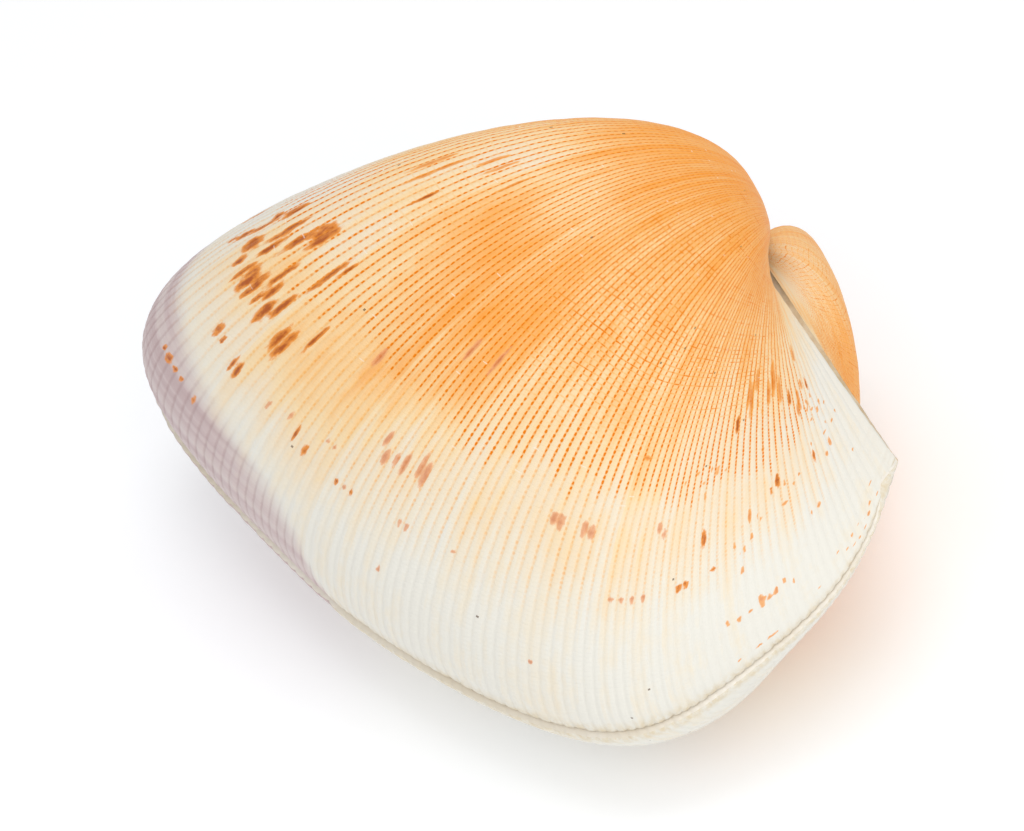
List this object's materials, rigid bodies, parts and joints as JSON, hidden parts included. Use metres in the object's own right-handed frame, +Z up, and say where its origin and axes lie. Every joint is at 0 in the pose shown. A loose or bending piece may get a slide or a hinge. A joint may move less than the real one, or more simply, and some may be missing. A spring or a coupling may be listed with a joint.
{
  "type": "ark clam shell",
  "caption": "Closed, empty ark clam shell: two strongly swollen, finely ribbed valves joined by a dried ligament, lying on its side as an ornament or specimen.",
  "frame": {"origin": "on the table, under the middle of the closed shell as it lies", "axes": "+X along the shell's length to its front (anterior) end, +Y to the hinge and beaks, +Z up from the table"},
  "size_m": [0.088, 0.063, 0.0516],
  "materials": {
    "shell": "satin",
    "ligament": "matte"
  },
  "bodies": {
    "root": {"right_valve": "shell", "left_valve": "shell", "ligament": "ligament"}
  },
  "joints": []
}
